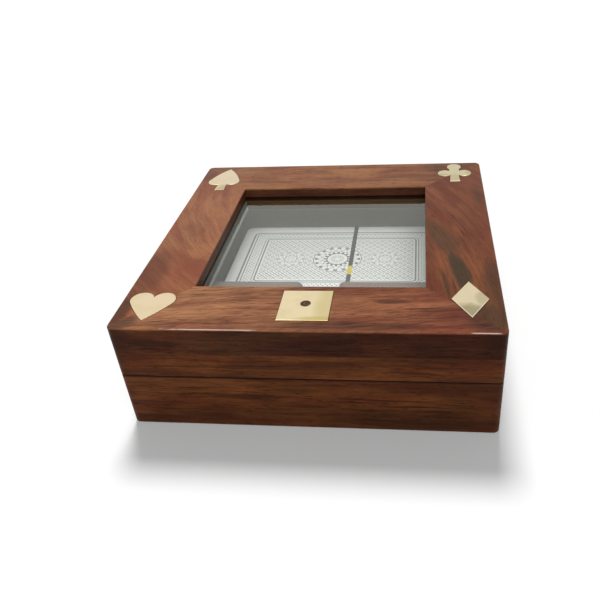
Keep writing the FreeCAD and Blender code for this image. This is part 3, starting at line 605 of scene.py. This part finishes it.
# Painted shade: darker lines on the deck's sides in the gaps between the cards.
sheets = wave(z, CARD_THICKNESS).smooth(0.2, 0.9) * (1.0 - top_face)
colour = (sheets * 0.5).between(paper, PAPER_GAP_SHADE)
feed(shader.inputs["Base Color"], (ink * top_face * PRINT_SHARE).between(colour, INK))
crinkle = point.noise((7, 3, 7), detail=3.0, rough=0.6)
feed(shader.inputs["Roughness"], crinkle * 0.2 + 0.3)
feed(shader.inputs["Normal"], crinkle.bump(crinkle * 3.0 - sheets * 0.3, 0.10))
wrapped_deck.data.materials.append(card_print)
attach(wrapped_deck, "base")
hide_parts("card_deck")

TAB_FROM, TAB_TO, TAB_SOFT = 6.0, 12.4, 0.3
TAB_YELLOW = stain(232, 208, 66)
tear_film, shader, point = new_finish("tear_strip_film", IOR=1.45, Coat_Weight=0.4, Coat_Roughness=0.1)
_, y, _ = point.parts()
tab = y.smooth(TAB_FROM - TAB_SOFT, TAB_FROM) * y.smooth(TAB_TO + TAB_SOFT, TAB_TO)
wear_and_glint = point.noise((0.9, 5, 0.9), detail=2.0)
dark = wear_and_glint.between(stain(62, 63, 62), stain(96, 97, 95))
feed(shader.inputs["Base Color"], (tab * 0.95).between(dark, TAB_YELLOW))
feed(shader.inputs["Roughness"], wear_and_glint * 0.25 + 0.3)
feed(shader.inputs["Normal"], wear_and_glint.bump(wear_and_glint, 0.03))
put_on(tear_film, "wrap_tear_strip")

# ---------------------------------------------------------------------------------------------
# Hinges: two brass butts, stamped leaves with three knuckles on a pin, let into both back walls
# and held by slotted brass screws. The brass is brushed along the leaf and a little tarnished.
# ---------------------------------------------------------------------------------------------


def brass(name, colour, dull, scratch, brushed, roughness):
    """Brass of that roughness: fine scratches of that size along each axis, which add the brushed
    roughness, and slow tarnish towards the dull colour."""
    material, shader, point = new_finish(name, Metallic=1.0)
    scratches = point.noise(scratch, detail=3.0, rough=0.7)
    tarnish = point.noise((5, 5, 5), detail=3.0, rough=0.5)
    share = tarnish.smooth(0.45, 0.75) * 0.3 + (scratches - 0.5) * 0.2
    feed(shader.inputs["Base Color"], share.between(colour, dull))
    feed(shader.inputs["Roughness"], scratches * brushed + tarnish * 0.1 + roughness)
    feed(shader.inputs["Normal"], scratches.bump(scratches, 0.012))
    return material, shader, point


LEAF_BRASS, TARNISH = stain(228, 196, 120), stain(150, 112, 60)
BRUSHING = (6, 0.15, 0.15)
hinge_brass, *_ = brass("hinge_brass", LEAF_BRASS, TARNISH, BRUSHING, brushed=0.25, roughness=0.25)
for hand in ("left", "right"):
    put_on(hinge_brass, f"hinge_{hand}_base_leaf", f"hinge_{hand}_lid_leaf", f"hinge_{hand}_pin")
put_on(hinge_brass, "hinge_screws_base", "hinge_screws_lid")

# ---------------------------------------------------------------------------------------------
# Lid frame: four mitred rails of rosewood, each from a different board, grooved for the glass and
# recessed for the brass. The lacquered face is lighter than the edges below it, which are partly
# stained and partly darkened with painted shade.
# ---------------------------------------------------------------------------------------------

# Skin is the height of the lacquered face and tint its colour; below it the edges are darkened,
# partly as a stain and partly with painted shade on the rails' sides. The mouth under the glass is
# painted over below a height and within a half width: in grey flock at the left, and at the back in
# a dark brown that is partly the rail's wood and partly painted shade.
lid_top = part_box("lid_frame_front")[1].z / MM
FRAME_TONES = {
    "light": stain(176, 116, 76),
    "mid": stain(140, 84, 56),
    "red": stain(134, 68, 50),
    "line": stain(88, 44, 28),
    "heart": stain(84, 54, 38),
    "pore": stain(62, 34, 24),
    # The sides' darkening: partly a stain, partly painted shade.
    "stain_and_shade": (0.20, 0.18, 0.166),
    # The pale colour of the painted highlight on the rim.
    "painted_glints": stain(232, 214, 200),
}
RAILS = {
    "front": {
        "runs": "x",
        "seed": 14.0,
        "lean": 0.07,
        "wander": 5.0,
        "lines": 0.9,
        "ripple": (17.0, 1.1),
        # Painted highlight on the front rim at these two stretches.
        "painted_glints": ((-29.0, 15.0), (57.0, 4.0)),
        "dawn": (-25.0, -48.0, (1.5, 1.35, 1.15)),
        "glow": ((-46.0, -34.0, 4.0, 12.0, 0.6),),
        "tint": (0.815, 0.895, 0.975),
        "dusk": (-12.0, 22.0, (0.80, 0.67, 0.67)),
        "shade": (
            (-60.0, -62.0, 6.0, 8.0, 0.7),
            (-61.5, 16.0, 2.2, 24.0, 0.6),
            (-58.0, 60.0, 7.0, 9.0, 0.75),
            (-48.0, 28.0, 1.4, 6.0, 0.7),
        ),
    },
    "back": {
        "runs": "x",
        "seed": 17.0,
        "wander": 2.0,
        "lines": 0.4,
        "heart": 0.68,
        "glow": (
            (50.0, -18.0, 3.0, 12.0, 0.9),
            (57.0, 8.0, 3.4, 14.0, 0.9),
            (44.0, 27.0, 2.0, 6.0, 0.6),
        ),
        "tint": (0.72, 0.76, 0.73),
        "ripple": (4.0, 0.5),
        "dusk": (8.0, 46.0, (0.86, 0.82, 0.82)),
        "dawn": (-90.0, -80.0, (0.80, 0.78, 0.90)),
        "shade": ((60.0, 54.0, 8.0, 16.0, 0.5), (62.0, -58.0, 8.0, 10.0, 0.4)),
    },
    "left": {
        "runs": "y",
        "seed": 20.0,
        "start": 25.0,
        "lean": -0.25,
        "curve": 0.0059,
        "wander": 6.0,
        "lines": 0.6,
        "heart": 0.72,
        "figure": 0.42,
        "ripple": (124.0, 1.1),
        "tint": (0.845, 0.88, 0.93),
        "dusk": (-8.0, -32.0, (1.0, 0.88, 0.85)),
        "glow": (
            (-45.5, -15.0, 6.0, 7.0, 0.8),
            (-44.5, 15.0, 3.5, 6.0, 0.7),
            (-50.0, 30.0, 1.6, 4.0, 0.6),
            (-52.0, 46.0, 4.0, 6.0, 0.6),
        ),
        "shade": (
            (-60.0, -34.0, 6.5, 20.0, 0.5),
            (-53.0, 1.0, 5.0, 6.0, 0.16),
            (-61.0, 56.0, 4.0, 8.0, 0.5),
            (-62.0, -55.0, 3.6, 9.0, 0.85),
            (-54.0, -43.0, 3.0, 4.0, 0.2),
        ),
    },
    "right": {
        "runs": "y",
        "seed": 23.0,
        "start": -20.0,
        "lean": -0.22,
        "curve": -0.003,
        "wander": 0.6,
        "figure": 0.6,
        "heart": 0.72,
        "heart_tone": stain(92, 78, 58),
        "tint": (0.52, 0.43, 0.39),
        "ripple": (-14.0, 0.8),
        "glow": ((42.5, -22.0, 3.0, 12.0, 0.8), (51.0, 2.0, 2.2, 9.0, 0.7)),
        "streaks": (
            (48.9, -29.0, 3.1, 15.0, 1.0),
            (48.7, -6.0, 4.4, 15.0, 0.62),
            (42.6, -38.0, 0.8, 9.0, 0.7),
            (45.2, -41.0, 0.6, 8.0, 0.7),
        ),
        "shade": (
            (60.5, 30.0, 2.0, 9.0, 0.45),
            (61.5, -40.0, 4.0, 18.0, 0.55),
            (59.0, -56.0, 6.0, 8.0, 0.75),
        ),
    },
}
glass_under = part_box("window_glass")[0].z / MM
left_mouth, back_mouth = -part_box("lid_frame_left")[1].x / MM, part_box("lid_frame_back")[0].y / MM
# At the back the rail's mouth under the glass is painted a flat dark brown: partly its own wood, partly
# painted shade.
STRIP_FLOCK, MOUTH_BROWN_AND_SHADE = stain(120, 124, 116), stain(74, 58, 36)
RAILS["left"]["lined"] = (glass_under, left_mouth, STRIP_FLOCK)
RAILS["back"]["lined"] = (glass_under, back_mouth, MOUTH_BROWN_AND_SHADE)
for side, board in RAILS.items():
    board["skin"] = lid_top
    put_on(rosewood(f"rosewood_frame_{side}", board, FRAME_TONES), f"lid_frame_{side}")

# ---------------------------------------------------------------------------------------------
# Lid walls: four mitred boards of rosewood, glued under the frame and stained like the base. The
# front one has two pale streaks.
# ---------------------------------------------------------------------------------------------

for number, (side, runs) in enumerate((("front", "x"), ("back", "x"), ("left", "y"), ("right", "y"))):
    board = {**WALL, "runs": runs, "seed": 26.0 + 3 * number, "wander": 2.0}
    if side == "front":
        board["glow"] = ((27.2, -42.0, 1.6, 13.0, 1.3), (25.0, 24.0, 2.4, 44.0, 0.6))
    put_on(rosewood(f"rosewood_lid_{side}", board, SHADED_WALL_TONES), f"lid_wall_{side}")

# ---------------------------------------------------------------------------------------------
# Brass inlays: heart, spade, club, diamond and the die face, cut from 1.2 mm sheet, glued into
# the recesses and polished with the frame, so that they stand a little proud and shine.
# ---------------------------------------------------------------------------------------------

DULLED = stain(212, 192, 140)
POLISHING = (0.12, 5, 5)


def polished(inlay, colour, painted_reflections, reflected_tone):
    """Polished brass with painted reflections towards the reflected tone: each a middle, half sizes,
    share.
    """
    finish = {"scratch": POLISHING, "brushed": 0.16, "roughness": 0.22}
    made, shader, point = brass(f"brass_{inlay}", colour, DULLED, **finish)
    x, y, _ = point.parts()
    colour = painted(shader)
    fray = (point.noise((2.5, 2.5, 2.5), detail=3.0) - 0.5) * 0.9
    # Painted reflection: darker patches where the polished brass mirrors its surroundings.
    for cloud in painted_reflections:
        colour = patch(x, y, cloud, fray).between(colour, reflected_tone)
    feed(shader.inputs["Base Color"], colour)
    put_on(made, inlay)
    return shader, x, y, colour


# The patches on each inlay are painted reflections of darker surroundings in the polished brass.
polished("inlay_heart", stain(231, 211, 175), ((-46.0, -60.0, 5.0, 5.0, 0.5),), stain(206, 184, 138))
polished("inlay_spade", stain(224, 207, 176), ((-50.0, 40.0, 4.0, 4.0, 0.8),), stain(190, 172, 128))
club_reflections = ((52.0, 47.0, 3.0, 4.0, 0.4), (58.5, 53.0, 2.0, 2.0, 0.5), (47.0, 50.5, 2.5, 1.6, 0.5))
polished("inlay_club", stain(206, 194, 157), club_reflections, stain(172, 160, 112))
plate_reflections = ((9.0, -51.0, 6.0, 12.0, 0.5), (6.0, -58.6, 9.0, 1.6, 0.8))
polished("die_plate", stain(232, 215, 175), plate_reflections, stain(200, 182, 116))

DIAMOND_LIGHT, DIAMOND_REFLECTED_DARK, DIAMOND_GLINT = stain(221, 206, 172), stain(141, 134, 95), stain(236, 220, 196)
diamond_reflections = ((52.0, -54.6, 7.0, 5.3, 0.75), (57.5, -46.0, 3.0, 4.0, 0.4))
shader, x, y, colour = polished("inlay_diamond", DIAMOND_LIGHT, diamond_reflections, DIAMOND_REFLECTED_DARK)
diamond_low, diamond_high = (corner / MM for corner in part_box("inlay_diamond"))
middle, half = (diamond_low + diamond_high) / 2, (diamond_high - diamond_low) / 2
# Painted highlight: the diamond's lower rims are painted pale, as glints on their bevels.
outward = abs(x - middle.x) / half.x + abs(y - middle.y) / half.y
bevel_glint = outward.smooth(0.92, 0.97) * y.smooth(middle.y + 1.0, middle.y - 2.0) * 0.8
feed(shader.inputs["Base Color"], bevel_glint.between(colour, DIAMOND_GLINT))

pip_filler, shader, point = new_finish("pip_filler", Specular_IOR_Level=0.2)
grit = point.noise((0.4, 0.4, 0.4), detail=2.0)
fleck = point.noise((0.7, 0.7, 0.7), detail=1.0, shift=(3, 1, 0)).smooth(0.62, 0.70)
dark = grit.between(stain(44, 27, 18), stain(84, 58, 38))
feed(shader.inputs["Base Color"], fleck.between(dark, stain(190, 140, 70)))
feed(shader.inputs["Roughness"], grit * 0.3 + 0.35)
feed(shader.inputs["Normal"], grit.bump(grit, 0.08))
put_on(pip_filler, "die_pip")

# ---------------------------------------------------------------------------------------------
# Window: a pane of 2 mm glass in the groove of the frame, with a faint green cast, and lining
# strips of the same grey flock under the frame.
# ---------------------------------------------------------------------------------------------

GLASS_INDEX = 1.5
TWO_FACES = 1.3
pane, _, point = new_finish("window_pane")
clear = point.node("ShaderNodeBsdfTransparent", None, {"Color": (0.985, 0.995, 0.99, 1.0)})
gloss = point.node("ShaderNodeBsdfGlossy", None, {"Color": (1.0, 1.0, 0.95, 1.0), "Roughness": 0.03})
inside = point.node("ShaderNodeNewGeometry", output="Backfacing")
facing = point.node("ShaderNodeFresnel", None, {"IOR": GLASS_INDEX}) * (1.0 - inside) * TWO_FACES
glass_mix = point.node("ShaderNodeMixShader", None, {0: facing, 1: clear, 2: gloss})
pane.node_tree.links.new(glass_mix.socket, pane.node_tree.nodes["Material Output"].inputs["Surface"])
put_on(pane, "window_glass")

strip_flock, *_ = flock("strip_flock", STRIP_FLOCK)
put_on(strip_flock, "lid_lining_front", "lid_lining_left", "lid_lining_right")

# Painted shade: the back strip is painted dark brown without sheen above its lowest 0.15 mm, partly its
# own sawn board and partly the shade under the back rail.
edged_flock, strip_shader, point = flock("edged_flock", STRIP_FLOCK)
_, _, z = point.parts()
strip_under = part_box("lid_lining_back")[0].z / MM
edge_wood_and_shade = point.noise((3, 3, 0.6), detail=3.0).between(stain(36, 24, 14), stain(60, 42, 26))
sawn_and_shaded = z.smooth(strip_under, strip_under + 0.15)
feed(strip_shader.inputs["Base Color"], sawn_and_shaded.between(painted(strip_shader), edge_wood_and_shade))
strip_shader.inputs["Sheen Weight"].default_value = 0.0
put_on(edged_flock, "lid_lining_back")

# ---------------------------------------------------------------------------------------------
# Studio: a white table that keeps the box's shadow, a sky that is brightest overhead, a broad main
# lamp over the front of the box, a weak low one behind it and a third for the table alone, and the
# camera in front of the box, a little to its right.
# ---------------------------------------------------------------------------------------------

TABLE = 4.0
TABLE_SEEN, TABLE_GLOW, TABLE_BOUNCE = 0.28, 0.14, 0.035
SKY_OVERHEAD, SKY_LOW = 0.6, 0.25
CAMERA_RAY, GLOSSY_RAY, TRANSMISSION_RAY = 0, 3, 6
corners = [(-TABLE, -TABLE, 0), (TABLE, -TABLE, 0), (TABLE, TABLE, 0), (-TABLE, TABLE, 0)]
table_mesh = bpy.data.meshes.new("table")
table_mesh.from_pydata(corners, [], [(0, 1, 2, 3)])
table = bpy.data.objects.new("table", table_mesh)
bpy.context.scene.collection.objects.link(table)
finish = {"Roughness": 1.0, "Specular_IOR_Level": 0.0, "Emission_Strength": 1.0}
white, shader, point = new_finish("white_table", **finish)
table_mesh.materials.append(white)

world = bpy.data.worlds.new("studio")
bpy.context.scene.world = world
world.use_nodes = True
background = world.node_tree.nodes["Background"]
direction = Signal(world.node_tree.nodes.new("ShaderNodeTexCoord").outputs["Generated"])
_, _, up = direction.parts()
above = up.maths("MAXIMUM", 0.0)
sky = above * above * SKY_OVERHEAD + SKY_LOW


def seen_by(signal):
    """1 for what the camera sees, straight, through the glass or mirrored in the brass."""
    kinds = (CAMERA_RAY, GLOSSY_RAY, TRANSMISSION_RAY)
    straight, mirrored, through = (signal.node("ShaderNodeLightPath", output=kind) for kind in kinds)
    return straight.maths("MAXIMUM", mirrored.maths("MAXIMUM", through))


def grey(level):
    """A neutral colour."""
    return (level, level, level)


feed(background.inputs["Color"], seen_by(up).between(sky.point(sky, sky, sky), grey(1.0)))
feed(shader.inputs["Base Color"], seen_by(point).between(grey(TABLE_BOUNCE), grey(TABLE_SEEN)))
feed(shader.inputs["Emission Color"], seen_by(point).between(grey(0.0), grey(TABLE_GLOW)))


def lamp(name, energy, height, turn, spread):
    """A broad lamp far away. In degrees: how far it stands up from the horizon behind the box, where
    more than 90 is over its front, its turn round the box, clockwise from above, and its spread."""
    made = bpy.data.objects.new(name, bpy.data.lights.new(name, "SUN"))
    made.data.energy = energy
    made.data.angle = math.radians(spread)
    made.rotation_euler = Euler((math.radians(height - 90), 0, math.radians(-turn)))
    bpy.context.scene.collection.objects.link(made)
    return made


def lights_only(source, name, *pieces):
    """Keeps a lamp to those pieces."""
    chosen = bpy.data.collections.new(name)
    for piece in pieces:
        chosen.objects.link(piece)
    source.light_linking.receiver_collection = chosen


lamp("overhead_lamp", energy=1.95, height=127, turn=-12, spread=45)
fill_lamp = lamp("fill_lamp", energy=0.6, height=12, turn=-20, spread=30)
fill_lamp.visible_glossy = False
table_lamp = lamp("table_lamp", energy=7.7, height=61, turn=-9, spread=17)
lights_only(table_lamp, "table_only", table)

camera = bpy.data.objects.new("camera", bpy.data.cameras.new("camera"))
camera.location = (0.03646, -0.22245, 0.16248)
camera.rotation_euler = [math.radians(turn) for turn in (55.646, 3.784, 6.235)]
camera.data.sensor_width = 36
camera.data.lens = 39.208
camera.data.shift_x = -0.0583
camera.data.clip_start = 0.01
bpy.context.scene.collection.objects.link(camera)
bpy.context.scene.camera = camera
bpy.context.scene.view_settings.view_transform = "Standard"
